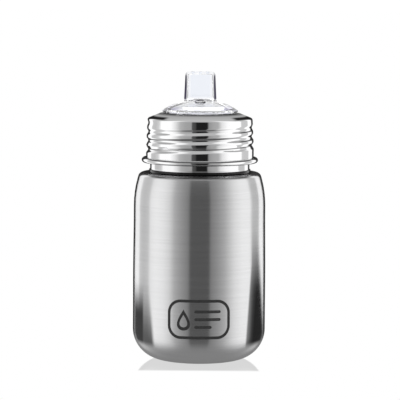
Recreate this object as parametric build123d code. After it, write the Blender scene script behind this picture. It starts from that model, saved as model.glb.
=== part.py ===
from build123d import *
from math import asin, degrees, radians, sqrt, tan
import os

# Stainless steel sippy cup: a single-wall bottle, a screw collar with a rolled thread, a clear spout.
#
# Millimetres, +Z up. The origin is the centre of the standing ring, on the surface the cup stands on.
# The cup faces -Y: the broad side of the spout and the air vent look that way.
#
# The bottle is a brushed body, a polished neck welded up through its shoulder and a base plate
# welded into its foot. The collar is one pressed sheet. Its thread is a helical land rolled
# inwards, which runs under the helical ridge rolled outwards on the neck. It clamps the spout's
# flange and a flat sealing ring onto the neck's lip. Below the dome hang a slit valve, pushed over
# an oval socket, and an umbrella valve that covers the two air holes of the vent.

# ---- Driving dimensions ----
BARREL_R = 33.0  # outside of the barrel
WAIST_R = 32.72  # outside just under the shoulder
SHOULDER_Z = 93.4
FOOT_CORNER_R = 15.3
BODY_SHEET = 0.5

NECK_R = 24.7  # outside of the neck tube
NECK_TOP_Z = 117.8
NECK_SHEET = 0.5

SKIRT_R = 26.75  # outside of the collar's skirt
COLLAR_TOP_R = 26.05  # where its side would meet its conical top
COLLAR_TOP_Z = 120.25
LIP_R = 19.25  # the hole in its top
LIP_Z = 123.0  # where the hole's wall would meet the conical top
COLLAR_SHEET = 0.45

THREAD_PITCH = 4.4
SPOUT_TOP_Z = 143.5
RUN_GAP = 0.08  # between the collar and the spout's flange, which turn on each other

# ---- Thread ----
THREAD_DEG = 180.0  # both threads are counted from the -X side
LAND_Z = 104.8  # centre of the collar's land on that side, on its lowest turn
LAND_TURNS = 3.0
LAND_RUN_OUT = 0.12  # further turns at each end, in which the land fades away
LAND_CREST_R = 25.67  # bottom of the groove seen from outside
LAND_ROUND = 1.6
LAND_LEAVE = 2.2  # how far its ends curve out of the sheet
RIDGE_AFTER_DEG = 30.0  # the neck's ridge starts this far round from the collar's land
RIDGE_TURNS = 1.5
RIDGE_CREST_R = 25.62
RIDGE_ROUND = 1.3
FADE_DEG = 50.0  # each rolled coil runs out over this angle at both ends
COIL_SECTIONS = 24  # per turn

# ---- Foot ----
FOOT_IN_R = 15.8  # inner edge of the standing ring
FOOT_STEP_R = 14.0
BASE_PLATE_R = 12.4
BASE_RECESS = 2.4
BASE_DISH = 0.9

# ---- Collar hem ----
CURL_Z = 99.6
CURL_IN_R = 0.85
CURL_SWEEP_DEG = 298.0

# ---- Sealing stack ----
SEAL_THICK = 1.2
SEAL_IN_R, SEAL_OUT_R = 21.75, 23.9
FLANGE_Z = NECK_TOP_Z + SEAL_THICK
FLANGE_R = 23.9
PLUG_IN_R, PLUG_OUT_R = 19.8, 21.4
PLUG_DEPTH = 3.5

# ---- Spout ----
DOME_SPHERE_R = 33.3
DOME_SPHERE_Z = 96.74
DOME_WALL = 1.7
DOME_RIM_R = 19.0
DOME_NECK_R = 17.3
DOME_BORE_R = 15.4
SPOUT_FOOT = (16.3, 12.2, 3.8)  # outside below the dome's top: across, deep, corner radius
SPOUT_HEAD = (14.8, 7.7, 3.1)  # outside at the top
BORE_FOOT = (12.6, 6.4, 2.4)  # inside at the socket
BORE_HEAD = (11.8, 4.5, 2.0)  # inside at the top
SPOUT_EDGE_R = 1.8
DRINK_HOLE_D = 1.5
DRINK_HOLE_STEP = 3.6
SOCKET = (15.0, 9.0)
SOCKET_Z = 122.5

# ---- Vent, counted along its own axis from the dome's centre ----
VENT_OFFSET = 9.3  # forward of the cup's axis
VENT_TILT = degrees(asin(VENT_OFFSET / DOME_SPHERE_R))
VENT_RING_R = 2.5
VENT_RING_HEIGHT = 0.4
VENT_SEAT = 31.7  # flat the umbrella closes against
AIR_HOLE_D = 0.85
AIR_HOLE_STEP = 1.15
STEM_HOLE_R = 0.5

# ---- Silicone valves ----
VALVE_FIT = 0.05
VALVE_WALL = 1.15
VALVE_FLOOR = 1.0
VALVE_TOP_Z = 126.0
SLIT = (4.2, 0.15)
UMBRELLA_R = 2.2
STEM_R = 0.45
BULB_R = 0.6

BASE_UP = (Align.CENTER, Align.CENTER, Align.MIN)


def sheet_ring(outer_face, thickness, side):
    """A pressed sheet turned about Z, from the line of its outer face."""
    outline = outer_face.offset_2d(thickness, side=side, closed=True)
    return revolve(Plane.XZ * make_face(outline), Axis.Z)


def coil(path_r, start_z, turns, start_deg, rise_out, wire_r):
    """A round wire wound right-handed about Z, whose ends curve away by rise_out over FADE_DEG."""
    sections = []
    steps = round(turns * COIL_SECTIONS)
    for step in range(steps + 1):
        turn = turns * step / steps
        from_end = 360 * min(turn, turns - turn)
        fade = max(0.0, 1 - from_end / FADE_DEG) ** 2
        place = Pos(path_r + rise_out * fade, 0, start_z + THREAD_PITCH * turn)
        section = place * (Plane.XZ * Circle(wire_r)).wire()
        sections.append(Rot(0, 0, start_deg + 360 * turn) * section)
    return Solid.make_loft(sections)


def oval_loft(low, low_z, high, high_z):
    """A tapering column between two rounded rectangles given as (across, deep, corner radius)."""
    return loft([Pos(0, 0, low_z) * RectangleRounded(*low), Pos(0, 0, high_z) * RectangleRounded(*high)])


def dome_z(radius, sphere_r):
    """Height of one of the dome's spherical faces at a distance from the axis."""
    return DOME_SPHERE_Z + sqrt(sphere_r**2 - radius**2)


def vent_place(height):
    """On the vent's tilted axis, this far from the dome's centre."""
    return Pos(0, 0, DOME_SPHERE_Z) * Rot(VENT_TILT, 0, 0) * Pos(0, 0, height)


# ---- Bottle ----
def bottle_body():
    """Brushed shell, from the lip that hugs the neck to the edge of the base plate."""
    lean = 15.6
    crown_r = 50.0
    crown_z = 77.0 + crown_r * tan(radians(lean / 2))
    corner_r = WAIST_R - (SHOULDER_Z - crown_z) * tan(radians(lean))
    lip_r = NECK_R + BODY_SHEET
    points = [
        (lip_r, SHOULDER_Z + 1.6),
        (lip_r, SHOULDER_Z),
        (corner_r, SHOULDER_Z),
        (WAIST_R, crown_z),
        (WAIST_R, 70.0),
        (BARREL_R, 46.0),
        (BARREL_R, 0),
        (FOOT_IN_R, 0),
        (FOOT_STEP_R, BASE_RECESS),
        (BASE_PLATE_R, BASE_RECESS),
    ]
    bends = [1.2, 2.6, crown_r, 700.0, 700.0, FOOT_CORNER_R, 1.1, 1.1]
    return sheet_ring(FilletPolyline(*points, radius=bends), BODY_SHEET, Side.RIGHT)


def base_plate():
    """Dished disc, butt-welded into the foot."""
    points = [
        (BASE_PLATE_R, BASE_RECESS),
        (BASE_PLATE_R - 1.2, BASE_RECESS),
        (BASE_PLATE_R - 3.2, BASE_RECESS + BASE_DISH),
        (0, BASE_RECESS + BASE_DISH),
    ]
    return sheet_ring(FilletPolyline(*points, radius=[1.5, 1.5]), BODY_SHEET, Side.RIGHT)


def neck_ring():
    """Polished neck: a tube with a flat lip turned inwards and a rolled ridge of one and a half turns."""
    points = [(NECK_R, SHOULDER_Z - 1.4), (NECK_R, NECK_TOP_Z), (22.5, NECK_TOP_Z)]
    tube = sheet_ring(FilletPolyline(*points, radius=0.9), NECK_SHEET, Side.LEFT)
    path_r = RIDGE_CREST_R - RIDGE_ROUND
    start_z = LAND_Z + THREAD_PITCH * (0.5 + RIDGE_AFTER_DEG / 360)
    start_deg = THREAD_DEG + RIDGE_AFTER_DEG
    sink = -(RIDGE_CREST_R - NECK_R) - NECK_SHEET
    ridge = coil(path_r, start_z, RIDGE_TURNS, start_deg, sink, RIDGE_ROUND)
    hollow = coil(path_r, start_z, RIDGE_TURNS, start_deg, sink, RIDGE_ROUND - NECK_SHEET)
    bore = Pos(0, 0, 100) * Cylinder(NECK_R - NECK_SHEET / 2, 17, align=BASE_UP)
    return tube + (ridge - bore) - hollow


# ---- Collar ----
def hem_curl():
    """The skirt's edge rolled outwards and back up, not quite closed."""
    centre = (SKIRT_R + CURL_IN_R, CURL_Z)
    inside = CenterArc(centre, CURL_IN_R, 180, CURL_SWEEP_DEG)
    outside = CenterArc(centre, CURL_IN_R + COLLAR_SHEET, 180, CURL_SWEEP_DEG)
    start, end = Line(inside @ 0, outside @ 0), Line(inside @ 1, outside @ 1)
    return revolve(Plane.XZ * make_face([inside, end, outside, start]), Axis.Z)


def screw_collar():
    """Pressed collar: a conical top with a turned-down hole, a rolled thread and a curled hem."""
    points = [
        (LIP_R, LIP_Z - 1.35),
        (LIP_R, LIP_Z),
        (COLLAR_TOP_R, COLLAR_TOP_Z),
        (SKIRT_R, 107.0),
        (SKIRT_R, CURL_Z),
    ]
    front = FilletPolyline(*points, radius=[0.6, 1.2, 50.0])
    back = front.offset_2d(COLLAR_SHEET, side=Side.RIGHT, closed=False)
    hem, lip = sorted([back @ 0, back @ 1], key=lambda end: end.Y)
    front_close = Polyline(front @ 1, (LIP_R, CURL_Z), front @ 0)
    inside_r = LIP_R - 2
    back_close = Polyline(hem, (hem.X, hem.Y - 1), (inside_r, hem.Y - 1), (inside_r, lip.Y), lip)
    filled = revolve(Plane.XZ * make_face([*front.edges(), *front_close.edges()]), Axis.Z)
    hollow = revolve(Plane.XZ * make_face([*back.edges(), *back_close.edges()]), Axis.Z)

    path_r = LAND_CREST_R + LAND_ROUND
    start_z = LAND_Z - THREAD_PITCH * LAND_RUN_OUT
    start_deg = THREAD_DEG - 360 * LAND_RUN_OUT
    turns = LAND_TURNS + 2 * LAND_RUN_OUT
    filled -= coil(path_r, start_z, turns, start_deg, LAND_LEAVE, LAND_ROUND)
    hollow -= coil(path_r, start_z, turns, start_deg, LAND_LEAVE, LAND_ROUND + COLLAR_SHEET)
    return filled - hollow + hem_curl()


# ---- Spout ----
def dome():
    """Lens-shaped dome on a short neck, with the flange the collar clamps and the plug below it."""
    slope = (LIP_Z - COLLAR_TOP_Z) / (COLLAR_TOP_R - LIP_R)
    under_lip = LIP_Z - (COLLAR_SHEET + RUN_GAP) * sqrt(1 + slope**2)
    step_r = LIP_R + COLLAR_SHEET + 0.3
    outline = Polyline(
        (DOME_BORE_R, dome_z(DOME_BORE_R, DOME_SPHERE_R - DOME_WALL)),
        (DOME_BORE_R, FLANGE_Z),
        (PLUG_IN_R, FLANGE_Z),
        (PLUG_IN_R, FLANGE_Z - PLUG_DEPTH),
        (PLUG_OUT_R, FLANGE_Z - PLUG_DEPTH),
        (PLUG_OUT_R, FLANGE_Z),
        (FLANGE_R, FLANGE_Z),
        (FLANGE_R, under_lip - slope * (FLANGE_R - LIP_R)),
        (step_r, under_lip - slope * (step_r - LIP_R)),
        (step_r, 121.5),
        (DOME_NECK_R, 121.5),
        (DOME_NECK_R, 123.4),
        (DOME_RIM_R - 0.3, 123.5),
        (DOME_RIM_R, dome_z(DOME_RIM_R, DOME_SPHERE_R)),
    )
    centre = (0, DOME_SPHERE_Z)
    rim_deg = degrees(asin(DOME_RIM_R / DOME_SPHERE_R))
    bore_deg = degrees(asin(DOME_BORE_R / (DOME_SPHERE_R - DOME_WALL)))
    crown = CenterArc(centre, DOME_SPHERE_R, 90 - rim_deg, rim_deg)
    ceiling = CenterArc(centre, DOME_SPHERE_R - DOME_WALL, 90, -bore_deg)
    axis_line = Line(crown @ 1, ceiling @ 0)
    face = make_face([*outline.edges(), crown, axis_line, ceiling])
    return revolve(Plane.XZ * face, Axis.Z)


def spout():
    """Hard clear spout: dome, flattened mouthpiece, valve socket and vent in one moulding."""
    mouthpiece = oval_loft(SPOUT_FOOT, 126.9, SPOUT_HEAD, SPOUT_TOP_Z)
    mouthpiece = fillet(mouthpiece.faces().sort_by(Axis.Z)[-1].edges(), SPOUT_EDGE_R)
    socket = Pos(0, 0, SOCKET_Z) * extrude(SlotOverall(*SOCKET), 127.8 - SOCKET_Z)
    ring = vent_place(DOME_SPHERE_R - 0.5) * Cylinder(VENT_RING_R, 0.5 + VENT_RING_HEIGHT, align=BASE_UP)
    ring -= vent_place(DOME_SPHERE_R) * Cylinder(VENT_RING_R - 0.6, 2, align=BASE_UP)
    body = dome() + mouthpiece + socket + ring

    body -= oval_loft(BORE_FOOT, SOCKET_Z - 1, BORE_HEAD, SPOUT_TOP_Z - 1.5)
    for along in (-DRINK_HOLE_STEP, 0, DRINK_HOLE_STEP):
        body -= Pos(along, 0, SPOUT_TOP_Z - 3) * Cylinder(DRINK_HOLE_D / 2, 5, align=BASE_UP)
    body -= vent_place(VENT_SEAT - 3) * Cylinder(UMBRELLA_R + 0.4, 3, align=BASE_UP)
    body -= vent_place(VENT_SEAT - 1) * Cylinder(STEM_HOLE_R, 6, align=BASE_UP)
    for along in (-AIR_HOLE_STEP, AIR_HOLE_STEP):
        body -= vent_place(VENT_SEAT - 1) * Pos(along, 0, 0) * Cylinder(AIR_HOLE_D / 2, 6, align=BASE_UP)
    return body


# ---- Silicone ----
def sealing_ring():
    """Flat ring between the neck's lip and the spout's flange."""
    middle = (SEAL_IN_R + SEAL_OUT_R) / 2
    section = RectangleRounded(SEAL_OUT_R - SEAL_IN_R, SEAL_THICK, 0.3)
    return revolve(Plane.XZ * Pos(middle, NECK_TOP_Z + SEAL_THICK / 2) * section, Axis.Z)


def flow_valve():
    """Oval cup pushed over the spout's socket, with a crossed slit in its floor and a pull tab."""
    inside = [side + 2 * VALVE_FIT for side in SOCKET]
    outside = [side + 2 * VALVE_WALL for side in inside]
    floor_z = SOCKET_Z - VALVE_FLOOR
    cup = Pos(0, 0, floor_z) * extrude(SlotOverall(*outside), VALVE_TOP_Z - floor_z)
    cup = fillet(cup.faces().sort_by(Axis.Z)[0].edges(), 0.5)
    tab = Pos(0, outside[1] / 2 + 1.6, floor_z + 1.2) * Box(5, 4.2, 1.2)
    tab = fillet(tab.edges().filter_by(Axis.Z).group_by(Axis.Y)[-1], 1.5)
    cup += tab - Pos(0, 0, floor_z) * extrude(SlotOverall(*inside), 8)
    cup -= Pos(0, 0, SOCKET_Z) * extrude(SlotOverall(*inside), 8)
    for turn in (45, 135):
        cup -= Pos(0, 0, floor_z - 1) * Rot(0, 0, turn) * Box(*SLIT, 4, align=BASE_UP)
    return cup


def vent_valve():
    """Umbrella under the dome, its stem drawn up through the vent to a small bulb."""
    bulb_height = DOME_SPHERE_R + sqrt(BULB_R**2 - STEM_HOLE_R**2) + 0.03
    umbrella = vent_place(VENT_SEAT - 0.7) * Cone(UMBRELLA_R - 0.9, UMBRELLA_R, 0.7, align=BASE_UP)
    stem = vent_place(VENT_SEAT - 0.2) * Cylinder(STEM_R, bulb_height - VENT_SEAT + 0.2, align=BASE_UP)
    return umbrella + stem + vent_place(bulb_height) * Sphere(BULB_R)


PIECES = (
    bottle_body,
    neck_ring,
    base_plate,
    screw_collar,
    spout,
    sealing_ring,
    flow_valve,
    vent_valve,
)

if __name__ == "__main__":
    os.makedirs("parts", exist_ok=True)
    for make in PIECES:
        export_step(make(), f"parts/{make.__name__}.step")
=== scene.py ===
import math
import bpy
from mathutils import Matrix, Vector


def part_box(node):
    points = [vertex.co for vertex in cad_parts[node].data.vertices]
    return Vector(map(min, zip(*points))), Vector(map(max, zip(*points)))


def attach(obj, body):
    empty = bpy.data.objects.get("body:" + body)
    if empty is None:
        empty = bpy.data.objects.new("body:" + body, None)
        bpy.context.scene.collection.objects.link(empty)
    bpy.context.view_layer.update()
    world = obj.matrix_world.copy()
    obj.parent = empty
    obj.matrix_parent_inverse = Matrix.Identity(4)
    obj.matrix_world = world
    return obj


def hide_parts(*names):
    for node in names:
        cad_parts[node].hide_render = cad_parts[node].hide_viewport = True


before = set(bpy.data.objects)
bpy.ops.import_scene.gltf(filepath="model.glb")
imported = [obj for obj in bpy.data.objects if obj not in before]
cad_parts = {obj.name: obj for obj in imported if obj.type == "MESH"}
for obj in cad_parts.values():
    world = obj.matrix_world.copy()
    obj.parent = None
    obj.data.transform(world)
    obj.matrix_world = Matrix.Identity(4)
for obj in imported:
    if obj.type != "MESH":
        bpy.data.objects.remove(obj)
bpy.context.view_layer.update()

from types import SimpleNamespace

import bmesh
import bpy
import numpy as np
from mathutils import Matrix

# The looks of a stainless steel sippy cup: finer pieces in place of six CAD nodes, an etched mark, a white
# table, and a tent of light that only reflections see.

MM = 0.001
ROUND = 192  # points round a lathed piece


def extent(node):
    """A CAD node's radius, bottom and top in millimetres."""
    low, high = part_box(node)
    return [round(value / MM, 2) for value in (high[0], low[2], high[2])]


# All lengths below are millimetres, in the CAD's frame: +Z up, front at -Y.
# ---- Bottle ----
BARREL_R, _, BODY_TOP_Z = extent("bottle_body")
BARREL_TOP_Z = 46.0  # above it the side leans in to the waist
WAIST_R = 32.72
WAIST_Z = 70.0
SHOULDER_Z = BODY_TOP_Z - 1.6
SHOULDER_LEAN_DEG = 15.6
CROWN_Z = 77.0  # where the side starts to bend into the shoulder
CROWN_R = 50.0
FOOT_CORNER_R = 15.3
FOOT_IN_R = 15.8  # inner edge of the standing ring
FOOT_STEP_R = 14.0
BODY_SHEET = 0.5
BASE_PLATE_R, BASE_RECESS, _ = extent("base_plate")
BASE_DISH_Z = BASE_RECESS + 0.9
NECK_R = 24.7
NECK_LIP_R = 22.5
NECK_SHEET = 0.5
_, NECK_FOOT_Z, NECK_TOP_Z = extent("neck_ring")

# ---- Collar ----
SKIRT_R, SKIRT_TOP_Z = 26.75, 107.0
COLLAR_TOP_R, COLLAR_TOP_Z = 26.05, 120.25
LIP_R, LIP_Z = 19.25, 123.0
LIP_DEPTH = 1.35
COLLAR_SHEET = 0.45
CURL_Z = 99.6
CURL_IN_R = 0.85
CURL_SWEEP_DEG = 298

# ---- Thread: a land rolled into the collar, a ridge rolled out of the neck ----
PITCH = 4.4
THREAD_DEG = 180.0  # both threads are counted from the -X side
LAND_Z = 104.8
LAND_TURNS = 3.0
LAND_RUN_OUT = 0.12  # further turns at each end
LAND_CREST_R = 25.67
LAND_HALF_WIDTH = 1.85
GROOVE_LOW_Z, GROOVE_HIGH_Z = 101.5, 119.8  # the land's groove fades away towards both
RIDGE_AFTER_DEG = 30.0
RIDGE_TURNS = 1.5
RIDGE_CREST_R = 25.62
RIDGE_HALF_WIDTH = 1.35

# ---- Spout. A rounded rectangle's size is (across, deep, corner radius). ----
FLANGE_R, PLUG_END_Z, SPOUT_TOP_Z = extent("spout")
_, _, FLANGE_Z = extent("sealing_ring")
RUN_GAP = 0.08  # between the collar and the flange
SEAL_IN_R = 21.75
PLUG_IN_R, PLUG_OUT_R = 19.8, 21.4
DOME_R, DOME_Z = 33.3, 96.74  # radius and centre of the dome's sphere
DOME_WALL = 1.7
DOME_RIM_R = 19.0
DOME_RIM_Z = 123.5
DOME_NECK_R = 17.3
DOME_NECK_Z = 121.5
DOME_BORE_R = 15.4
SPOUT_FOOT, SPOUT_FOOT_Z = (16.3, 12.2, 3.8), 126.9
SPOUT_HEAD = (14.8, 7.7, 3.1)
SPOUT_EDGE_R = 1.8
SPOUT_JOIN_Z = 129.1  # about where the mouthpiece meets the dome
SPOUT_JOIN_R = 0.8
SOCKET, SOCKET_Z = (15.0, 9.0, 4.5), 122.5
SOCKET_EDGE_R = 0.2
BORE_FOOT, BORE_FOOT_Z = (12.6, 6.4, 2.4), SOCKET_Z - 1
BORE_HEAD, BORE_TOP_Z = (11.8, 4.5, 2.0), SPOUT_TOP_Z - 1.5
BORE_EDGE_R = 0.5
DRINK_HOLE_D = 1.5
DRINK_HOLE_STEP = 3.6

# ---- Vent, counted along its own axis from the dome's centre ----
VENT_OFFSET = 9.3  # forward of the cup's axis
VENT_TILT = math.asin(VENT_OFFSET / DOME_R)
VENT_RING_IN_R, VENT_RING_OUT_R = 1.95, 2.45
VENT_RING_HEIGHT = 0.42
VENT_SEAT = 31.7
UMBRELLA_R = 2.2
AIR_HOLE_D = 0.85
AIR_HOLE_STEP = 1.15
STEM_HOLE_R = 0.5

# ---- Etched mark, round a point on the front of the barrel ----
MARK_Z = 24.0
MARK_LIFT = 0.03  # its face stands this far proud of the steel
MARK_SINK = 0.06
MARK_FRAME = (31.4, 19.4, 6.6)
MARK_LINE = 1.4
DROP_SIZE, DROP_AT = 5.2, (-7.6, -0.3)
DROP_HOLE_SIZE, DROP_HOLE_AT = 3.1, (-7.6, -0.8)
BAR_START = -2.2
BARS = ((13.0, 3.8), (13.0, 0.0), (8.5, -3.8))  # length and height of each


# ---- Sections: a path of points with its unit tangents, in (radius, height) ----
def bend(points, radii, turn_step=6.0, longest=4.0):
    """Samples a path through the points, rounded at each inner corner."""
    points = [np.array(p, float) for p in points]
    radii = radii if isinstance(radii, list) else [radii] * (len(points) - 2)
    places, tangents = [], []

    def straight(a, b):
        length = np.linalg.norm(b - a)
        if length < 1e-6:
            return
        direction = (b - a) / length
        steps = max(1, math.ceil(length / longest))
        for k in range(steps + 1):
            places.append(a + (b - a) * k / steps)
            tangents.append(direction)

    start = points[0]
    for corner, after, radius in zip(points[1:-1], points[2:], radii):
        into = (corner - start) / np.linalg.norm(corner - start)
        out = (after - corner) / np.linalg.norm(after - corner)
        turn = math.atan2(into[0] * out[1] - into[1] * out[0], float(into @ out))
        cut = radius * math.tan(abs(turn) / 2)
        first = corner - into * cut
        straight(start, first)
        side = math.copysign(1.0, turn)
        centre = first + side * radius * np.array([-into[1], into[0]])
        steps = max(2, math.ceil(abs(math.degrees(turn)) / turn_step))
        for k in range(1, steps):
            angle = turn * k / steps
            spin = np.array([[math.cos(angle), -math.sin(angle)], [math.sin(angle), math.cos(angle)]])
            places.append(centre + spin @ (first - centre))
            tangents.append(spin @ into)
        start = corner + out * cut
    straight(start, points[-1])
    return np.array(places), np.array(tangents)


def arc(centre, radius, from_deg, to_deg, steps):
    """Points and tangents round part of a circle."""
    angles = np.radians(np.linspace(from_deg, to_deg, steps + 1))
    sign = math.copysign(1.0, to_deg - from_deg)
    places = np.array(centre) + radius * np.column_stack([np.cos(angles), np.sin(angles)])
    return places, sign * np.column_stack([-np.sin(angles), np.cos(angles)])


def sheet_section(path, thickness, side):
    """Closed section of a sheet whose outer face is the path, with rounded edges. side is 1 for left."""
    places, tangents = path
    inward = side * np.column_stack([-tangents[:, 1], tangents[:, 0]])
    half = thickness / 2
    places = places.copy()
    places[0] += tangents[0] * half
    places[-1] -= tangents[-1] * half
    turns = np.radians(np.arange(22.5, 180, 22.5))
    end = [places[-1] + inward[-1] * half + half * (math.sin(a) * tangents[-1] - math.cos(a) * inward[-1])
           for a in turns]
    begin = [places[0] + inward[0] * half + half * (math.cos(a) * inward[0] - math.sin(a) * tangents[0])
             for a in turns]
    return tidy([*places, *end, *(places + inward * thickness)[::-1], *begin])


def tidy(section):
    """Drops points that repeat the one before."""
    kept = [section[0]]
    for p in section[1:]:
        if np.linalg.norm(p - kept[-1]) > 1e-4:
            kept.append(p)
    return np.array(kept)


# ---- Meshes built from rings ----
def ring_mesh(name, rings, closed, poles=(None, None)):
    """A skin over rings of equal length. closed joins the last ring to the first; a pole is an end point."""
    rings = np.asarray(rings)
    count, around = rings.shape[:2]
    verts = [*rings.reshape(-1, 3)]
    faces = []
    last = count if closed else count - 1
    for i in range(last):
        a, b = i * around, ((i + 1) % count) * around
        for k in range(around):
            after = (k + 1) % around
            faces.append((a + k, a + after, b + after, b + k))
    for pole, base in zip(poles, (0, (count - 1) * around)):
        if pole is None:
            continue
        tip = len(verts)
        verts.append(np.array(pole, float))
        for k in range(around):
            after = (k + 1) % around
            faces.append((tip, base + after, base + k) if base == 0 else (tip, base + k, base + after))
    mesh = bpy.data.meshes.new(name)
    mesh.from_pydata([tuple(v * MM) for v in verts], [], faces)
    obj = bpy.data.objects.new(name, mesh)
    bpy.context.scene.collection.objects.link(obj)
    bm = bmesh.new()
    bm.from_mesh(mesh)
    bmesh.ops.recalc_face_normals(bm, faces=bm.faces)
    bm.to_mesh(mesh)
    bm.free()
    return obj


def lathe(name, section, shift=None, around=ROUND, poles=(None, None), closed=True):
    """Turns a section about Z. shift(angle, z) moves points radially."""
    angles = np.arange(around) * 2 * math.pi / around
    rings = []
    for r, z in section:
        radius = r + (shift(angles, np.full(around, z)) if shift else 0.0)
        rings.append(np.column_stack([radius * np.cos(angles), radius * np.sin(angles), np.full(around, z)]))
    return ring_mesh(name, rings, closed, poles)


def smooth(obj, sharp_deg=38):
    """Smooth shading that keeps real edges, with flats that stay flat beside small bends."""
    bm = bmesh.new()
    bm.from_mesh(obj.data)
    for edge in bm.edges:
        edge.smooth = len(edge.link_faces) != 2 or edge.calc_face_angle(0) < math.radians(sharp_deg)
    for face in bm.faces:
        face.smooth = True
    bm.to_mesh(obj.data)
    bm.free()
    weighted = obj.modifiers.new("weighted_normals", "WEIGHTED_NORMAL")
    weighted.keep_sharp = True
    weighted.weight = 50
    return obj


def coil_wave(angles, z, start_deg, start_z, turns, half_width, fade_deg=60.0):
    """How far each point is inside a right-handed coil: 1 on its centre line, 0 outside its half width."""
    best = np.zeros_like(z)
    for lap in range(-1, math.ceil(turns) + 1):
        turn = np.mod(angles - math.radians(start_deg), 2 * math.pi) / (2 * math.pi) + lap
        offset = np.abs(z - (start_z + PITCH * turn))
        wave = np.where(offset < half_width, 0.5 + 0.5 * np.cos(np.pi * offset / half_width), 0.0)
        from_end = 360 * np.minimum(turn, turns - turn)
        fade = np.clip(from_end / fade_deg, 0, 1)
        best = np.maximum(best, wave * fade * fade * (3 - 2 * fade))
    return best


def stand_in(obj, material, body, node):
    """Gives a piece its material and shows it in place of a CAD node."""
    obj.data.materials.clear()
    obj.data.materials.append(material)
    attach(obj, body)
    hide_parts(node)


# ---- Material nodes. Places and scales in them are in millimetres. ----
WHITE = (1, 1, 1, 1)


class Nodes:
    """Short hand for building a node tree. A value is a plain number or another node's output."""

    def __init__(self, tree):
        self.tree = tree
        tree.nodes.clear()

    def add(self, kind, inputs=None, **settings):
        node = self.tree.nodes.new(kind)
        for key, value in settings.items():
            setattr(node, key, value)
        for key, value in (inputs or {}).items():
            if isinstance(value, bpy.types.NodeSocket):
                self.tree.links.new(value, node.inputs[key])
            else:
                node.inputs[key].default_value = value
        return node

    def math(self, operation, *values, clamp=False):
        inputs = dict(enumerate(values))
        return self.add("ShaderNodeMath", inputs, operation=operation, use_clamp=clamp).outputs[0]

    def times(self, first, *others):
        """The product of all the values."""
        for other in others:
            first = self.math("MULTIPLY", first, other)
        return first

    def most(self, first, *others):
        """The largest of the values."""
        for other in others:
            first = self.math("MAXIMUM", first, other)
        return first

    def absolute(self, value):
        return self.math("ABSOLUTE", value)

    def above(self, value, limit):
        return self.math("GREATER_THAN", value, limit)

    def below(self, value, limit):
        return self.math("LESS_THAN", value, limit)

    def remap(self, value, from_min, from_max, to_min=0.0, to_max=1.0, smooth=True):
        inputs = {"Value": value, "From Min": from_min, "From Max": from_max,
                  "To Min": to_min, "To Max": to_max}
        kind = "SMOOTHSTEP" if smooth else "LINEAR"
        return self.add("ShaderNodeMapRange", inputs, interpolation_type=kind).outputs["Result"]

    def mix(self, factor, a, b):
        return self.add("ShaderNodeMix", {0: factor, 2: a, 3: b}, data_type="FLOAT").outputs[0]

    def mix_colour(self, factor, a, b, blend="MIX"):
        inputs = {0: factor, 6: a, 7: b}
        return self.add("ShaderNodeMix", inputs, data_type="RGBA", blend_type=blend).outputs[2]

    def ramp(self, value, stops):
        node = self.add("ShaderNodeValToRGB", {"Fac": value})
        elements = node.color_ramp.elements
        while len(elements) < len(stops):
            elements.new(0.5)
        for element, (place, shade) in zip(elements, stops):
            element.position = place
            element.color = (shade, shade, shade, 1)
        return node.outputs["Color"]

    def grey(self, value):
        return self.add("ShaderNodeCombineColor", {0: value, 1: value, 2: value}).outputs[0]

    def vector(self, operation, *vectors):
        """Vector arithmetic that gives another vector."""
        return self.add("ShaderNodeVectorMath", dict(enumerate(vectors)), operation=operation).outputs[0]

    def measure(self, operation, *vectors):
        """Vector arithmetic that gives one number."""
        node = self.add("ShaderNodeVectorMath", dict(enumerate(vectors)), operation=operation)
        return node.outputs["Value"]

    def scaled(self, vector, by):
        return self.add("ShaderNodeVectorMath", {0: vector, "Scale": by}, operation="SCALE").outputs[0]

    def split(self, vector):
        return self.add("ShaderNodeSeparateXYZ", {0: vector}).outputs

    def join(self, x, y, z=0.0):
        return self.add("ShaderNodeCombineXYZ", {0: x, 1: y, 2: z}).outputs[0]

    def place(self, of=None):
        """The shaded point in the coordinates of its own object, or of another one."""
        return self.scaled(self.add("ShaderNodeTexCoord", object=of).outputs["Object"], 1 / MM)

    def noise(self, place, scale, detail=2.0, roughness=0.5):
        inputs = {"Vector": place, "Scale": scale, "Detail": detail, "Roughness": roughness}
        return self.add("ShaderNodeTexNoise", inputs).outputs["Fac"]

    def bump(self, height, strength, depth):
        inputs = {"Strength": strength, "Distance": depth * MM, "Height": height}
        return self.add("ShaderNodeBump", inputs).outputs[0]

    def principled(self, inputs):
        """Ends the tree with one principled shader."""
        shader = self.add("ShaderNodeBsdfPrincipled", inputs)
        self.add("ShaderNodeOutputMaterial", {"Surface": shader.outputs[0]})


def new_material(name):
    material = bpy.data.materials.new(name)
    material.use_nodes = True
    return material, Nodes(material.node_tree)


def streaks(n, around_scale, height_scale, detail=2.0):
    """Noise drawn out round the cup, as brushing leaves it."""
    stretch = (around_scale, around_scale, height_scale)
    stretched = n.add("ShaderNodeMapping", {"Vector": n.place(), "Scale": stretch}).outputs[0]
    return n.noise(stretched, 1.0, detail, 0.6)


def painted_shoulder_shade(n):
    """Painted shade where the body's shoulder lies in the collar's shade: 1 close to the neck, 0 at the
    corner.
    """
    x, y, z = n.split(n.place())
    reach = n.measure("LENGTH", n.join(x, y))
    return n.times(n.remap(z, SHOULDER_Z - 0.4, SHOULDER_Z + 0.2), n.remap(reach, 26.2, 27.5, 1.0, 0.0))


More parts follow.
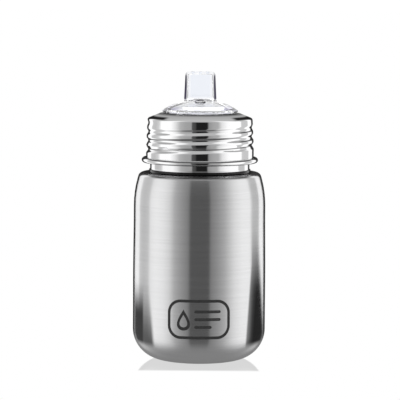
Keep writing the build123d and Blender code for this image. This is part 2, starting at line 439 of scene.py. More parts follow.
def brushed_steel(name, colour, roughness=0.2, anisotropy=0.92, paint_shoulder_shade=False):
    """Stainless steel brushed round the axis: reflections are crisp across and drawn out in height."""
    material, n = new_material(name)
    fine = streaks(n, 0.035, 5.2)
    coarse = streaks(n, 0.014, 0.9)
    tangent = n.add("ShaderNodeTangent", direction_type="RADIAL", axis="Z").outputs[0]
    tone = n.math("ADD", n.remap(fine, 0.25, 0.75, -0.035, 0.035), n.remap(coarse, 0.25, 0.75, -0.02, 0.02))
    shade = n.math("ADD", tone, 1.0)
    # Painted shade: the shoulder's colour darkens near the neck, where the collar shades it.
    if paint_shoulder_shade:
        shade = n.mix(painted_shoulder_shade(n), shade, 0.05)
    n.principled({"Base Color": n.mix_colour(1.0, (*colour, 1), n.grey(shade), "MULTIPLY"), "Metallic": 1.0,
                  "Roughness": n.remap(coarse, 0.2, 0.8, roughness - 0.02, roughness + 0.02),
                  "Anisotropic": anisotropy, "Anisotropic Rotation": 0.25, "Tangent": tangent,
                  "Normal": n.bump(fine, 0.04, 0.03)})
    return material


def polished_steel(name, colour, roughness=0.05):
    """Mirror-polished stainless steel with faint wipe marks."""
    material, n = new_material(name)
    marks = streaks(n, 0.09, 0.26, 4.0)
    n.principled({"Base Color": (*colour, 1), "Metallic": 1.0,
                  "Roughness": n.remap(marks, 0.35, 0.75, roughness, roughness + 0.03)})
    return material


def painted_dark_edges(n, outer, aside, z):
    """How much painted shade shows where a wall is seen edge-on, standing in for the dark that refraction
    gives there: on the mouthpiece and the dome's rim.
    """
    geometry = n.add("ShaderNodeNewGeometry").outputs
    level_normal, level_view = [n.vector("NORMALIZE", n.vector("MULTIPLY", geometry[name], (1, 1, 0)))
                                for name in ("Normal", "Incoming")]
    edge_on = n.math("SUBTRACT", 1.0, n.absolute(n.measure("DOT_PRODUCT", level_normal, level_view)))
    upright = n.remap(n.absolute(n.split(geometry["Normal"])[2]), 0.85, 0.6)
    above_foot = n.times(n.remap(z, 127.8, 128.5), n.remap(z, 128.8, 130.2, 0.4, 1.0))
    below_top = n.remap(z, 141.0, 143.0, 1.0, 0.45)
    corners_first = n.most(n.remap(z, 129.4, 130.4), n.remap(aside, 4.8, 6.2))
    # Painted shade on upright walls seen edge-on.
    upright_edge = n.times(n.remap(edge_on, 0.08, 0.36), upright, n.mix(outer, 0.05, 1.0), above_foot,
                           below_top, corners_first)
    facing = n.add("ShaderNodeLayerWeight", {"Blend": 0.5}).outputs["Facing"]
    # Painted shade round the dome's rim where it is seen at a slant.
    rim = n.times(n.remap(facing, 0.45, 0.95), n.remap(aside, 6.0, 17.5, 0.04, 0.5))
    return n.most(upright_edge, rim)


def painted_vent_shade(n, place):
    """Painted shade at the vent: a dark line round the vent's ring, fainter at its front, and a dark spot
    beside each air hole.
    """
    centre = (0, -VENT_OFFSET, DOME_Z + DOME_R * math.cos(VENT_TILT))
    from_vent = n.vector("SUBTRACT", place, centre)
    across, along, high = n.split(from_vent)
    to_vent = n.measure("LENGTH", from_vent)
    from_dome = n.measure("DISTANCE", place, (0, 0, DOME_Z))
    # Painted shade: a dark line round the ring, then dark spots by the air holes.
    ring = n.times(n.remap(to_vent, 2.0, 2.2), n.remap(to_vent, 2.6, 2.8, 1.0, 0.0),
                   n.remap(along, -2.1, -1.5, 0.4, 1.0), n.above(from_dome, DOME_R - 0.1))
    folded = n.join(n.absolute(across), along, high)
    to_spot = n.measure("DISTANCE", folded, (1.0, -0.5, -0.1))
    spot = n.times(n.remap(to_spot, 0.8, 0.9, 1.0, 0.0), n.above(from_dome, DOME_R - 0.5))
    return n.most(ring, spot)


def clear_plastic(name):
    """Clear moulded copolyester. Its colour is painted shade laid on by where on the spout a point is, in
    this order: a bluer painted shade on the faces of the bore, painted lilac shade on the sides of the dome,
    then the painted dark edges and the painted shade at the vent.
    """
    material, n = new_material(name)
    place = n.place()
    x, y, z = n.split(place)
    aside = n.absolute(x)
    outer = n.most(n.remap(aside, 6.4, 6.9), n.remap(n.absolute(y), 3.3, 3.7))
    # dark is painted shade from the edge-on walls, the rim and the vent.
    dark = n.most(painted_dark_edges(n, outer, aside, z), painted_vent_shade(n, place))
    # Painted bluer shade on the faces of the bore, seen through the front.
    painted_bore_shade = n.times(n.remap(aside, 4.5, 5.3, 1.0, 0.0), n.remap(z, 130.0, 131.2),
                        n.math("SUBTRACT", 1.0, outer, clamp=True))
    # Painted lilac shade on the sides of the dome.
    painted_dome_shade = n.times(n.remap(aside, 8.5, 16.5), n.remap(z, 128.4, 125.2), n.remap(z, 123.9, 124.4))
    colour = n.mix_colour(painted_bore_shade, (0.965, 0.97, 0.99, 1), (0.88, 0.905, 0.95, 1))
    colour = n.mix_colour(painted_dome_shade, colour, (0.52, 0.49, 0.72, 1))
    # Lays the painted dark shade over the rest.
    colour = n.mix_colour(dark, colour, (0.006, 0.004, 0.016, 1))
    flow = n.noise(place, 0.12, 1.0)
    n.principled({"Base Color": colour, "Roughness": 0.0, "IOR": 1.09, "Transmission Weight": 1.0,
                  "Coat Weight": n.math("SUBTRACT", 1.0, dark, clamp=True), "Coat IOR": 1.45,
                  "Coat Roughness": n.remap(flow, 0.4, 0.7, 0.0, 0.01)})
    return material


def silicone(name, colour):
    """Milky translucent silicone with a fine moulded grain."""
    material, n = new_material(name)
    grain = n.noise(n.place(), 2.5)
    n.principled({"Base Color": (*colour, 1), "Roughness": n.remap(grain, 0.3, 0.7, 0.35, 0.5), "IOR": 1.41,
                  "Transmission Weight": 0.6, "Alpha": 0.1, "Normal": n.bump(grain, 0.15, 0.05)})
    return material


def etched(name):
    """Dark matt oxide left by a laser, slightly uneven."""
    material, n = new_material(name)
    shade = n.remap(n.noise(n.place(), 1.8), 0.3, 0.7, 0.02, 0.034)
    n.principled({"Base Color": n.grey(shade), "Roughness": 0.6, "Specular IOR Level": 0.2})
    return material


# The body's steel carries the painted shade on its shoulder.
STEEL = brushed_steel("brushed_body_steel", (0.74, 0.74, 0.745), paint_shoulder_shade=True)
BASE_STEEL = brushed_steel("satin_base_steel", (0.66, 0.66, 0.67), 0.3, 0.5)
MIRROR = polished_steel("polished_collar_steel", (0.93, 0.93, 0.935))
NECK_MIRROR = polished_steel("polished_neck_steel", (0.88, 0.88, 0.885))
CLEAR = clear_plastic("clear_copolyester")
SOFT = silicone("milky_silicone", (0.93, 0.93, 0.95))
ETCHED = etched("laser_etching")


# ---- Bottle ----
def body_path():
    """Outer face of the body, from the lip at the neck to the edge of the base plate."""
    lean = math.radians(SHOULDER_LEAN_DEG)
    crown_z = CROWN_Z + CROWN_R * math.tan(lean / 2)
    corner_r = WAIST_R - (SHOULDER_Z - crown_z) * math.tan(lean)
    lip_r = NECK_R + BODY_SHEET
    points = [(lip_r, BODY_TOP_Z), (lip_r, SHOULDER_Z), (corner_r, SHOULDER_Z), (WAIST_R, crown_z),
              (WAIST_R, WAIST_Z), (BARREL_R, BARREL_TOP_Z), (BARREL_R, 0), (FOOT_IN_R, 0),
              (FOOT_STEP_R, BASE_RECESS), (BASE_PLATE_R, BASE_RECESS)]
    return bend(points, [1.2, 2.6, CROWN_R, 700.0, 700.0, FOOT_CORNER_R, 1.1, 1.1], turn_step=4.0)


def bottle_shell():
    shell = smooth(lathe("bottle_shell", sheet_section(body_path(), BODY_SHEET, -1)))
    stand_in(shell, STEEL, "bottle", "bottle_body")


def neck_tube():
    path = bend([(NECK_R, NECK_FOOT_Z), (NECK_R, NECK_TOP_Z), (NECK_LIP_R, NECK_TOP_Z)], 0.9, 10, 0.3)
    start_deg = THREAD_DEG + RIDGE_AFTER_DEG
    start_z = LAND_Z + PITCH * (0.5 + RIDGE_AFTER_DEG / 360)

    def ridge(angles, z):
        rise = RIDGE_CREST_R - NECK_R
        return rise * coil_wave(angles, z, start_deg, start_z, RIDGE_TURNS, RIDGE_HALF_WIDTH)

    tube = smooth(lathe("neck_tube", sheet_section(path, NECK_SHEET, 1), ridge))
    stand_in(tube, NECK_MIRROR, "bottle", "neck_ring")


def foot_disc():
    points = [(BASE_PLATE_R, BASE_RECESS), (BASE_PLATE_R - 1.2, BASE_RECESS),
              (BASE_PLATE_R - 3.2, BASE_DISH_Z), (0.4, BASE_DISH_Z)]
    low, tangents = bend(points, 1.5)
    up = np.column_stack([tangents[:, 1], -tangents[:, 0]])
    section = tidy([*low[::-1], *(low + up * BODY_SHEET)])
    poles = ((0, 0, BASE_DISH_Z), (0, 0, BASE_DISH_Z + BODY_SHEET))
    disc = smooth(lathe("foot_disc", section, poles=poles, closed=False))
    stand_in(disc, BASE_STEEL, "bottle", "base_plate")


# ---- Collar ----
def collar_shell():
    points = [(LIP_R, LIP_Z - LIP_DEPTH), (LIP_R, LIP_Z), (COLLAR_TOP_R, COLLAR_TOP_Z),
              (SKIRT_R, SKIRT_TOP_Z), (SKIRT_R, CURL_Z)]
    wall = bend(points, [0.6, 1.2, 50.0], turn_step=8, longest=0.24)
    curl = arc((SKIRT_R + CURL_IN_R, CURL_Z), CURL_IN_R, 180, 180 + CURL_SWEEP_DEG, 26)
    path = (np.vstack([wall[0], curl[0][1:]]), np.vstack([wall[1], curl[1][1:]]))
    start_deg = THREAD_DEG - 360 * LAND_RUN_OUT
    start_z = LAND_Z - PITCH * LAND_RUN_OUT
    turns = LAND_TURNS + 2 * LAND_RUN_OUT

    def groove(angles, z):
        outside = np.interp(z, [SKIRT_TOP_Z, COLLAR_TOP_Z], [SKIRT_R, COLLAR_TOP_R])
        zone = np.clip((z - GROOVE_LOW_Z) / 1.5, 0, 1) * np.clip((GROOVE_HIGH_Z - z) / 0.6, 0, 1)
        wave = coil_wave(angles, z, start_deg, start_z, turns, LAND_HALF_WIDTH, fade_deg=50.0)
        return -(outside - LAND_CREST_R) * zone * wave

    shell = smooth(lathe("collar_shell", sheet_section(path, COLLAR_SHEET, -1), groove, around=256))
    stand_in(shell, MIRROR, "collar", "screw_collar")


# ---- Spout ----
HEADINGS = np.radians(np.arange(0, 360, 1.8))


def circle(radius):
    return np.column_stack([radius * np.cos(HEADINGS), radius * np.sin(HEADINGS)])


def oval(across, deep, corner):
    """A rounded rectangle with one point on each heading."""
    turns = np.radians(np.arange(0, 90.1, 2.5))
    quarter = np.column_stack([across / 2 - corner + corner * np.cos(turns),
                               deep / 2 - corner + corner * np.sin(turns)])
    whole = np.vstack([quarter, (quarter * (-1, 1))[::-1], quarter * (-1, -1), (quarter * (1, -1))[::-1]])
    bearing = np.unwrap(np.arctan2(whole[:, 1], whole[:, 0]))
    points = []
    for heading in HEADINGS:
        place = np.searchsorted(bearing, heading, side="right") - 1
        a, b = whole[place], whole[(place + 1) % len(whole)]
        toward = np.array([math.cos(heading), math.sin(heading)])
        step = b - a
        share = (a[1] * toward[0] - a[0] * toward[1]) / (step[0] * toward[1] - step[1] * toward[0])
        points.append(a + np.clip(share, 0, 1) * step)
    return np.array(points)


def grown(size, by):
    """A rounded rectangle's size with every side moved outwards."""
    across, deep, corner = size
    return across + 2 * by, deep + 2 * by, max(0.3, corner + by)


def between(low, low_z, high, high_z, z, grow):
    """A tapering column's outline at a height, grown outwards by so much."""
    t = (z - low_z) / (high_z - low_z)
    return oval(*grown([a + (b - a) * t for a, b in zip(low, high)], grow))


def oval_at(z, grow=0.0):
    """The mouthpiece's outside."""
    return between(SPOUT_FOOT, SPOUT_FOOT_Z, SPOUT_HEAD, SPOUT_TOP_Z, z, grow)


def bore_at(z, grow=0.0):
    """The mouthpiece's inside."""
    return between(BORE_FOOT, BORE_FOOT_Z, BORE_HEAD, BORE_TOP_Z, z, grow)


def level(flat, z):
    return np.column_stack([flat, np.broadcast_to(z, len(flat))])


def on_sphere(flat, sphere_r):
    """Height of one of the dome's spherical faces over points."""
    return DOME_Z + np.sqrt(sphere_r**2 - np.square(flat).sum(axis=-1))


def mouthpiece_rings():
    """Over the mouthpiece's top and down its outside, into the fillet on the dome."""
    top = grown(SPOUT_HEAD, -SPOUT_EDGE_R)
    rings = [level(oval(*np.multiply(top, share)), SPOUT_TOP_Z) for share in (0.35, 0.7, 1.0)]
    for angle in np.radians(np.arange(10, 91, 10)):
        z = SPOUT_TOP_Z - SPOUT_EDGE_R * (1 - math.cos(angle))
        rings.append(level(oval_at(z, -SPOUT_EDGE_R * (1 - math.sin(angle))), z))
    for z in np.linspace(SPOUT_TOP_Z - SPOUT_EDGE_R - 1, 131.0, 10):
        rings.append(level(oval_at(z), z))
    for angle in np.radians(np.arange(0, 91, 15)):
        flat = oval_at(SPOUT_JOIN_Z, SPOUT_JOIN_R * (1 - math.cos(angle)))
        rings.append(level(flat, on_sphere(flat, DOME_R) + SPOUT_JOIN_R * (1 - math.sin(angle))))
    return rings


def dome_rings():
    """Down the dome's outside, round its rim and neck, the flange and the plug, and up to its ceiling."""
    crown_r = DOME_RIM_R - 0.4
    foot = oval_at(SPOUT_JOIN_Z, SPOUT_JOIN_R)
    rings = []
    for share in np.linspace(0, 1, 23)[1:-1]:
        flat = foot * (1 - share) + circle(crown_r) * share
        rings.append(level(flat, on_sphere(flat, DOME_R)))
    slope = (LIP_Z - COLLAR_TOP_Z) / (COLLAR_TOP_R - LIP_R)
    under_lip = LIP_Z - (COLLAR_SHEET + RUN_GAP) * math.sqrt(1 + slope**2)
    step_r = LIP_R + COLLAR_SHEET + 0.3
    corners = [(crown_r, on_sphere((crown_r, 0), DOME_R)), (DOME_RIM_R, on_sphere((DOME_RIM_R, 0), DOME_R)),
               (DOME_RIM_R - 0.3, DOME_RIM_Z), (DOME_NECK_R, DOME_RIM_Z - 0.1), (DOME_NECK_R, DOME_NECK_Z),
               (step_r, DOME_NECK_Z), (step_r, under_lip - slope * (step_r - LIP_R)),
               (FLANGE_R, under_lip - slope * (FLANGE_R - LIP_R)), (FLANGE_R, FLANGE_Z),
               (PLUG_OUT_R, FLANGE_Z), (PLUG_OUT_R, PLUG_END_Z), (PLUG_IN_R, PLUG_END_Z),
               (PLUG_IN_R, FLANGE_Z), (DOME_BORE_R, FLANGE_Z),
               (DOME_BORE_R, on_sphere((DOME_BORE_R, 0), DOME_R - DOME_WALL))]
    radii = [0.1, 0.2, 0.4, 0.3, 0.2, 0.15, 0.25, 0.25, 0.15, 0.4, 0.4, 0.15, 0.3]
    outline = bend(corners, radii, turn_step=18, longest=1.5)[0]
    return rings + [level(circle(r), z) for r, z in tidy(list(outline))]


def socket_rings():
    """Over the dome's ceiling, down the outside of the valve socket and round its end."""
    ceiling_r = DOME_R - DOME_WALL
    fillet = 0.4
    rings = []
    for share in np.linspace(0, 1, 12)[1:]:
        flat = circle(DOME_BORE_R - 0.2) * (1 - share) + oval(*grown(SOCKET, fillet)) * share
        rings.append(level(flat, on_sphere(flat, ceiling_r)))
    for angle in np.radians((30, 60, 90)):
        flat = oval(*grown(SOCKET, fillet * (1 - math.sin(angle))))
        rings.append(level(flat, on_sphere(flat, ceiling_r) - fillet * (1 - math.cos(angle))))
    for z in (SOCKET_Z + 3.5, SOCKET_Z + 2.0, SOCKET_Z + 0.5):
        rings.append(level(oval(*SOCKET), z))
    for angle in np.radians((0, 30, 60, 90)):
        shrink = SOCKET_EDGE_R * (1 - math.cos(angle))
        rings.append(level(oval(*grown(SOCKET, -shrink)), SOCKET_Z + SOCKET_EDGE_R * (1 - math.sin(angle))))
    return rings


def bore_rings():
    """Up the inside of the socket and the mouthpiece, to its closed end."""
    rings = []
    for angle in np.radians((90, 60, 30, 0)):
        flat = bore_at(SOCKET_Z + SOCKET_EDGE_R, SOCKET_EDGE_R * (1 - math.cos(angle)))
        rings.append(level(flat, SOCKET_Z + SOCKET_EDGE_R * (1 - math.sin(angle))))
    for z in np.linspace(SOCKET_Z + 1.5, BORE_TOP_Z - 1, 12):
        rings.append(level(bore_at(z), z))
    for angle in np.radians((20, 45, 70, 90)):
        z = BORE_TOP_Z - BORE_EDGE_R * (1 - math.sin(angle))
        rings.append(level(bore_at(z, -BORE_EDGE_R * (1 - math.cos(angle))), z))
    end = grown(BORE_HEAD, -BORE_EDGE_R)
    return rings + [level(oval(*np.multiply(end, share)), BORE_TOP_Z) for share in (0.6, 0.25)]


def cutter(matrix, radius, low, high):
    """A short round bar along the matrix's Z, for cutting a hole."""
    bm = bmesh.new()
    place = matrix @ Matrix.Translation((0, 0, (low + high) / 2))
    bmesh.ops.create_cone(bm, cap_ends=True, segments=32, radius1=radius, radius2=radius, depth=high - low,
                          matrix=place)
    bmesh.ops.scale(bm, vec=(MM, MM, MM), verts=bm.verts)
    mesh = bpy.data.meshes.new("cutter")
    bm.to_mesh(mesh)
    bm.free()
    obj = bpy.data.objects.new("cutter", mesh)
    bpy.context.scene.collection.objects.link(obj)
    return obj


def carve(obj, tools, operation):
    """Applies a boolean with each tool, then removes the tools."""
    for tool in tools:
        change = obj.modifiers.new("change", "BOOLEAN")
        change.operation = operation
        change.solver = "EXACT"
        change.object = tool
    bpy.context.view_layer.update()
    shape = bpy.data.meshes.new_from_object(obj.evaluated_get(bpy.context.evaluated_depsgraph_get()))
    obj.modifiers.clear()
    obj.data = shape
    for tool in tools:
        bpy.data.objects.remove(tool)


def vent_matrix():
    """The vent's tilted axis, from the dome's centre."""
    return Matrix.Translation((0, 0, DOME_Z)) @ Matrix.Rotation(VENT_TILT, 4, "X")


def vent_ring():
    """Raised ring round the air holes, sunk a little into the dome so it joins it."""
    low, high = DOME_R - 0.4, DOME_R + VENT_RING_HEIGHT
    points = [(VENT_RING_IN_R, low), (VENT_RING_IN_R, high), (VENT_RING_OUT_R, high), (VENT_RING_OUT_R, low)]
    section = bend(points, 0.18, turn_step=20, longest=1.0)[0]
    ring = lathe("vent_ring", tidy(list(section)), around=64)
    ring.data.transform(Matrix.Scale(MM, 4) @ vent_matrix() @ Matrix.Scale(1 / MM, 4))
    return ring


def holes():
    """Bars for the drinking holes, the air holes, the umbrella's stem and its seat."""
    vent = vent_matrix()
    bars = [cutter(Matrix.Translation((x, 0, 0)), DRINK_HOLE_D / 2, BORE_TOP_Z - 2, SPOUT_TOP_Z + 2.5)
            for x in (-DRINK_HOLE_STEP, 0, DRINK_HOLE_STEP)]
    bars += [cutter(vent @ Matrix.Translation((x, 0, 0)), AIR_HOLE_D / 2, DOME_R - 4, DOME_R + 2)
             for x in (-AIR_HOLE_STEP, AIR_HOLE_STEP)]
    bars.append(cutter(vent, STEM_HOLE_R, DOME_R - 4, DOME_R + 2))
    bars.append(cutter(vent, UMBRELLA_R + 0.4, VENT_SEAT - 3, VENT_SEAT))
    return bars


def clear_spout():
    rings = mouthpiece_rings() + dome_rings() + socket_rings() + bore_rings()
    shell = ring_mesh("clear_spout", rings, False, ((0, 0, SPOUT_TOP_Z), (0, 0, BORE_TOP_Z)))
    carve(shell, [vent_ring()], "UNION")
    carve(shell, holes(), "DIFFERENCE")
    smooth(shell, 32)
    shell.visible_glossy = False
    stand_in(shell, CLEAR, "spout_unit", "spout")
    return shell


def seal_ring_soft():
    middle = (SEAL_IN_R + FLANGE_R) / 2
    points = [(middle, NECK_TOP_Z), (FLANGE_R, NECK_TOP_Z), (FLANGE_R, FLANGE_Z), (SEAL_IN_R, FLANGE_Z),
              (SEAL_IN_R, NECK_TOP_Z), (middle, NECK_TOP_Z)]
    section = bend(points, 0.3, turn_step=18, longest=2.0)[0]
    ring = smooth(lathe("seal_ring_soft", tidy(list(section[:-1]))))
    stand_in(ring, SOFT, "spout_unit", "sealing_ring")


def valves():
    """The two CAD valves, shown as they are in silicone."""
    for name in ("flow_valve", "vent_valve"):
        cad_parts[name].data.materials.clear()
        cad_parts[name].data.materials.append(SOFT)


# ---- Etched mark: a plain frame round a drop and three bars ----
def on_body(flat, lift):
    """Wraps points (along, up) round the front of the barrel and its foot."""
    along, z = flat[:, 0], MARK_Z + flat[:, 1]
    drop = np.clip(FOOT_CORNER_R - z, 0, None)
    wide = np.sqrt(FOOT_CORNER_R**2 - drop**2)
    out = BARREL_R - FOOT_CORNER_R + wide * (1 + lift / FOOT_CORNER_R)
    angle = -math.pi / 2 + along / BARREL_R
    return np.column_stack([out * np.cos(angle), out * np.sin(angle), z - drop * lift / FOOT_CORNER_R])


def stroke(name, outside, inside):
    """A thin raised band between two outlines."""
    rings = [on_body(outline, lift) for outline, lift in ((inside, -MARK_SINK), (inside, MARK_LIFT),
                                                          (outside, MARK_LIFT), (outside, -MARK_SINK))]
    obj = smooth(ring_mesh(name, rings, True))
    obj.data.materials.append(ETCHED)
    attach(obj, "bottle")


def drop_outline(size):
    """A water drop, point up."""
    across = 0.88 * np.sin(HEADINGS) * np.sin(HEADINGS / 2)**1.4
    return size * np.column_stack([across, np.cos(HEADINGS)])


def bar_outline(length, width):
    """A straight bar with round ends, with many points along its sides."""
    half, reach = width / 2, (length - width) / 2
    side = np.linspace(-reach, reach, 40)
    turns = np.radians(np.arange(15, 180, 15))
    below = np.column_stack([side, np.full(40, -half)])
    end = np.column_stack([reach + half * np.sin(turns), -half * np.cos(turns)])
    return np.vstack([below, end, -below, -end])


def etched_mark():
    stroke("mark_frame", oval(*MARK_FRAME), oval(*grown(MARK_FRAME, -MARK_LINE)))
    stroke("mark_drop", drop_outline(DROP_SIZE) + DROP_AT, drop_outline(DROP_HOLE_SIZE) + DROP_HOLE_AT)
    slit = 0.04  # what a bar's band leaves open along its middle
    for number, (length, up) in enumerate(BARS, 1):
        centre = (BAR_START + length / 2, up)
        inside = bar_outline(length - MARK_LINE + slit, slit) + centre
        stroke(f"mark_bar_{number}", bar_outline(length, MARK_LINE) + centre, inside)


# ---- Set ----
def set_floor():
    """White table top whose sheen mirrors the foot of the cup faintly. It is clear from below."""
    bpy.ops.mesh.primitive_circle_add(vertices=96, radius=12, fill_type="NGON", location=(0, 0, -0.05 * MM))
    floor = bpy.context.object
    floor.name = "floor"
    material, n = new_material("white_floor")
    geometry = n.add("ShaderNodeNewGeometry").outputs
    place = n.scaled(geometry["Position"], 1 / MM)
    near = n.remap(n.measure("LENGTH", place), 56.0, 70.0, 1.0, 0.0)
    not_in_front = n.remap(n.split(place)[1], -42.0, -36.0)
    white = n.add("ShaderNodeEmission", {"Color": WHITE, "Strength": 1.0})
    gloss = n.add("ShaderNodeBsdfGlossy", {"Color": WHITE, "Roughness": 0.06})
    share = n.times(near, not_in_front, 0.4)
    both = n.add("ShaderNodeMixShader", {0: share, 1: white.outputs[0], 2: gloss.outputs[0]})
    clear = n.add("ShaderNodeBsdfTransparent")
    seen = n.add("ShaderNodeMixShader", {0: geometry["Backfacing"], 1: both.outputs[0], 2: clear.outputs[0]})
    n.add("ShaderNodeOutputMaterial", {"Surface": seen.outputs[0]})
    floor.data.materials.append(material)
    floor.visible_glossy = False


# Light round the tent as (azimuth in degrees, level). Azimuth 0 is the camera's side, positive its right.
# The body sees greys either side of a dark middle, white, a grey band, white and a dark back.
BODY_WALLS = [(-180, 0.02), (-153, 0.04), (-149, 0.98), (-131, 1.0), (-127, 0.64), (-113, 0.58), (-101, 0.64),
              (-95, 0.92), (-82, 0.99), (-66, 0.92), (-54, 0.76), (-44, 0.47), (-32, 0.34), (-18.5, 0.22),
              (-16, 0.095), (17, 0.095), (19.5, 0.22), (32, 0.32), (45, 0.46), (54, 0.63), (64, 0.82),
              (80, 0.98), (99, 1.0), (107, 0.58), (126, 0.54), (130, 1.0), (147, 0.98), (152, 0.04)]
# The polished collar and neck see the same order with more contrast.
COLLAR_WALLS = [(-180, 0.02), (-152, 0.03), (-149, 0.98), (-131, 0.96), (-127, 0.52), (-113, 0.5),
                (-101, 0.6), (-93, 0.97), (-66, 0.95), (-55, 0.72), (-44, 0.42), (-32, 0.34), (-18.5, 0.31),
                (-17, 0.08), (-9, 0.05), (-7, 0.012), (16.5, 0.012), (19, 0.27), (29, 0.35), (40, 0.39),
                (49, 0.72), (62, 0.92), (76, 1.0), (99, 1.0), (103, 0.55), (126, 0.54), (130, 1.0),
                (147, 0.98), (152, 0.03)]
WALL_GAIN = 1.13
TABLE_LEVEL = 0.29
ROOM_LEVEL = 1.08


def trace_back(n, spout):
    """A reflected ray's direction in degrees, and where on the cup it starts in millimetres.

    azimuth and height are its direction, and front is 1 on the camera's half of the tent. x, y and z are
    the place in the room, reach is its distance from the axis and swing its angle round the cup, 0 at the
    front. on_spout is the same place from the spout's own origin and risen its height there, so light that
    is set by risen goes up with the lid.
    """
    room = n.add("ShaderNodeNewGeometry").outputs
    length = n.add("ShaderNodeLightPath").outputs["Ray Length"]
    back_x, back_y, back_z = n.split(room["Incoming"])
    travel = n.scaled(n.scaled(room["Incoming"], length), 1 / MM)
    x, y, z = n.split(n.vector("ADD", n.scaled(room["Position"], 1 / MM), travel))
    on_spout = n.vector("ADD", n.place(spout), travel)
    degrees = 180 / math.pi
    azimuth = n.times(n.math("ARCTAN2", n.times(back_x, -1.0), back_y), degrees)
    height = n.times(n.math("ARCSINE", n.times(back_z, -1.0)), degrees)
    swing = n.times(n.math("ARCTAN2", x, n.times(y, -1.0)), degrees)
    front = n.below(n.absolute(azimuth), 90.0)
    reach = n.measure("LENGTH", n.join(x, y))
    risen = n.split(on_spout)[2]
    return SimpleNamespace(azimuth=azimuth, height=height, front=front, x=x, y=y, z=z, reach=reach,
                           swing=swing, on_spout=on_spout, risen=risen)


def walls(n, ray, stops):
    """The light that the stops give at the ray's azimuth."""
    share = n.math("DIVIDE", n.math("ADD", ray.azimuth, 180.0), 360.0)
    return n.times(n.ramp(share, [((azimuth + 180) / 360, shade) for azimuth, shade in stops]), WALL_GAIN)


def dark_wedges(n, ray, light):
    """A dark wedge low on each side of the front, cut off above the foot."""
    zone = n.times(n.remap(ray.y, -4.0, -10.5), n.remap(ray.z, 7.0, 11.5),
                   n.remap(n.absolute(ray.azimuth), 72.0, 86.0))

    # Each starts past a leaning line. The right one is dark throughout, and its outer part fades higher up.
    right_edge = n.math("MULTIPLY_ADD", n.math("MINIMUM", ray.z, 50.0), 0.0667, 22.0)
    past_right = n.remap(n.math("SUBTRACT", ray.x, right_edge), 0.0, 4.0, smooth=False)
    outer = n.math("MULTIPLY_ADD", n.math("SUBTRACT", ray.z, 34.0), 0.6, ray.azimuth)
    right = n.times(n.ramp(past_right, [(0.0, 0.0), (0.2, 0.75), (0.45, 0.86), (0.7, 0.95), (1.0, 1.0)]),
                    n.remap(outer, 149.0, 132.0), n.remap(ray.z, 74.0, 34.0))
    light = n.mix(n.times(right, zone), light, 0.026)

    left_edge = n.math("MULTIPLY_ADD", ray.z, -0.0856, -20.9)
    past_left = n.remap(n.math("SUBTRACT", ray.x, left_edge), 0.6, -1.4)
    low_down = n.mix(n.remap(ray.x, -27.0, -28.0), n.remap(ray.z, 45.0, 12.0, 0.0, 0.88),
                     n.remap(ray.z, 43.0, 24.0))
    left = n.times(past_left, low_down, n.remap(ray.azimuth, -153.0, -148.0))
    return n.mix(n.times(left, zone), light, 0.065)


def body_light(n, ray):
    """The walls' light, the table's below, grey above the front, dark above the back and dark overhead."""
    light = n.mix(n.remap(ray.height, -18.0, -66.0), walls(n, ray, BODY_WALLS), TABLE_LEVEL)
    light = n.mix(n.remap(ray.z, 12.5, 4.5, 0.0, 0.8), light, TABLE_LEVEL)
    light = n.most(light, n.mix(ray.front, n.remap(ray.height, -9.0, -14.0, 0.0, 0.27), 0.0))
    light = dark_wedges(n, ray, light)
    light = n.mix(n.remap(ray.height, 26.0, 40.0), light, n.mix(ray.front, 0.1, 0.42))
    return n.mix(n.remap(ray.height, 55.0, 66.0), light, 0.04)


def cone_bands(n, ray):
    """Bands that follow the collar's cone round: dark by the lip, mid grey outside, near black flanks."""
    bands = n.ramp(n.remap(ray.reach, 19.0, 27.0, smooth=False),
                   [(0.0, 0.4), (0.05, 0.13), (0.2, 0.18), (0.36, 0.42), (0.6, 0.46), (0.8, 0.52)])
    flank = n.times(n.remap(n.absolute(ray.swing), 38.0, 47.0), n.remap(ray.reach, 22.2, 23.8))
    return n.mix(flank, bands, 0.015)


def thread_lines(n, ray):
    """Thin dark lines that climb with the thread."""
    def line(front_z):
        climb = n.math("MULTIPLY_ADD", ray.swing, PITCH / 360, front_z)
        return n.remap(n.absolute(n.math("SUBTRACT", ray.risen, climb)), 0.1, 0.4, 1.0, 0.0)

    right = n.times(n.remap(ray.swing, 43.0, 52.0), n.remap(ray.swing, 88.0, 80.0))
    left = n.times(n.remap(ray.swing, -44.0, -56.0), n.remap(ray.swing, -88.0, -80.0))
    lowest = n.times(n.remap(n.absolute(ray.swing), 88.0, 80.0), line(106.1), 0.8)
    return n.most(n.times(right, n.most(line(109.1), line(113.5))), n.times(left, line(111.0)), lowest)


def collar_light(n, ray):
    """The walls' light, bright above and dark below, with the hem's dark top, the cone and the thread."""
    sides = walls(n, ray, COLLAR_WALLS)
    above = n.mix(ray.front, 0.42, n.most(n.times(sides, 0.95), 0.5))
    light = n.mix(n.remap(ray.height, 14.0, 42.0), sides, above)
    light = n.mix(n.remap(ray.height, 60.0, 80.0), light, 0.5)
    light = n.mix(n.remap(ray.height, -34.0, -58.0), light, 0.1)
    hem_top = n.times(n.remap(ray.height, 18.0, 30.0), n.remap(ray.risen, 101.2, 100.6))
    light = n.mix(hem_top, light, 0.12)
    light = n.mix(n.remap(ray.risen, 120.0, 120.6), light, cone_bands(n, ray))
    return n.mix(thread_lines(n, ray), light, 0.05)


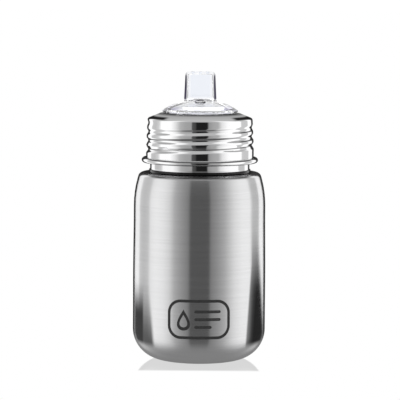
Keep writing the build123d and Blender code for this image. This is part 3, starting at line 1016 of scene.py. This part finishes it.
def spout_light(n, ray, light):
    """White on the spout, with a long window in the front of the dome, a bright rim and a bright foot."""
    inside = n.times(n.below(ray.reach, LIP_R - 0.2), n.above(ray.risen, 90.0))
    light = n.mix(inside, light, 0.98)
    foot = n.times(n.remap(ray.risen, 127.6, 128.2), n.remap(ray.risen, 130.6, 129.9))
    window = n.times(n.remap(ray.risen, 124.9, 125.1), n.remap(ray.risen, 126.5, 126.3),
                     n.remap(ray.x, -8.6, -8.3), n.remap(ray.x, 11.9, 11.6), n.below(ray.y, -10.0),
                     n.above(n.measure("DISTANCE", ray.on_spout, (0, 0, DOME_Z)), DOME_R - 0.4))
    rim = n.times(n.remap(ray.risen, 124.9, 124.5), n.remap(ray.risen, 119.0, 119.6),
                  n.above(ray.reach, 17.0), n.remap(n.absolute(ray.swing), 66.0, 50.0))
    for zone, strength in ((foot, 2.0), (window, 7.0), (rim, 7.0)):
        light = n.mix(n.times(inside, zone), light, strength)
    return light


def set_tent(spout):
    """A light tent that only reflections see, whose light depends on where on the cup a ray starts."""
    bpy.ops.mesh.primitive_uv_sphere_add(segments=48, ring_count=24, radius=6)
    tent = bpy.context.object
    tent.name = "light_tent"
    material, n = new_material("light_tent")
    ray = trace_back(n, spout)
    on_collar = n.above(ray.z, BODY_TOP_Z + 0.7)
    light = n.mix(on_collar, body_light(n, ray), collar_light(n, ray))
    light = spout_light(n, ray, light)
    on_floor = n.times(n.below(ray.z, 0.2), n.above(ray.reach, 20.5))
    glow = n.add("ShaderNodeEmission", {"Color": WHITE, "Strength": n.mix(on_floor, light, 1.0)})
    n.add("ShaderNodeOutputMaterial", {"Surface": glow.outputs[0]})
    tent.data.materials.append(material)
    tent.visible_camera = False
    tent.visible_diffuse = False
    tent.visible_transmission = False
    tent.visible_shadow = False
    tent.visible_volume_scatter = False


def set_world():
    """Even white surroundings for the camera, for matt surfaces and behind clear ones."""
    world = bpy.data.worlds.new("white_room")
    world.use_nodes = True
    n = Nodes(world.node_tree)
    glow = n.add("ShaderNodeBackground", {"Color": WHITE, "Strength": ROOM_LEVEL})
    n.add("ShaderNodeOutputWorld", {"Surface": glow.outputs[0]})
    bpy.context.scene.world = world


def set_camera():
    """A long lens in front of the cup and a little above it, tilted down, with a trace of roll."""
    distance, height, tilt_deg, roll_deg = 1.2, 0.1916, 5.34, 0.36
    data = bpy.data.cameras.new("camera")
    data.lens = 217.8
    data.sensor_width = 36.0
    data.clip_start, data.clip_end = 0.05, 40
    camera = bpy.data.objects.new("camera", data)
    bpy.context.scene.collection.objects.link(camera)
    tilt = Matrix.Rotation(math.radians(90 - tilt_deg), 4, "X")
    roll = Matrix.Rotation(math.radians(roll_deg), 4, "Z")
    camera.matrix_world = Matrix.Translation((0.2 * MM, -distance, height)) @ tilt @ roll
    bpy.context.scene.camera = camera


bottle_shell()
neck_tube()
foot_disc()
collar_shell()
spout_shell = clear_spout()
seal_ring_soft()
valves()
etched_mark()
set_floor()
set_tent(spout_shell)
set_world()
set_camera()
bpy.context.scene.view_settings.view_transform = "Standard"
